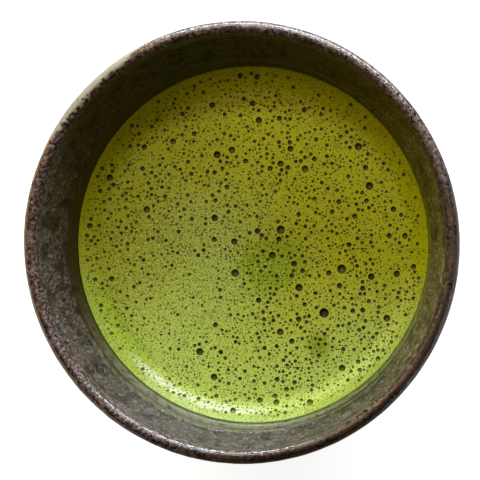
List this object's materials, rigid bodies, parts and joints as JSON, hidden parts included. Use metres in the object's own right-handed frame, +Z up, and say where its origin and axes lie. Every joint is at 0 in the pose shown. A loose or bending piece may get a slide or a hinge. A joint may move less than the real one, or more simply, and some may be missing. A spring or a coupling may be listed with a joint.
{
  "type": "matcha bowl",
  "caption": "Thrown stoneware tea bowl with a luted foot ring and mottled brown glaze, holding whisked green tea under a layer of pale froth.",
  "frame": {"origin": "centre of the foot ring's resting face", "axes": "+Z up through the bowl's mouth; +X is the side that leans towards the viewer's right"},
  "size_m": [0.1198, 0.12, 0.0704],
  "materials": {
    "stoneware": "bare fired stoneware, rough, with trimming rings",
    "inner_glaze": "glossy iron glaze, dark olive brown with fine streaks running down",
    "outer_glaze": "glossy mottled brown glaze with lilac grey crystals and a cream ash patch on the lip",
    "tea": "liquid green tea, wet gloss",
    "froth": "fine pale green froth with open and filmed bubbles"
  },
  "bodies": {
    "root": {"clay_body": "stoneware", "foot_ring": "stoneware", "inner_glaze": "inner_glaze", "outer_glaze": "outer_glaze", "tea": "tea", "froth": "froth"}
  },
  "joints": []
}
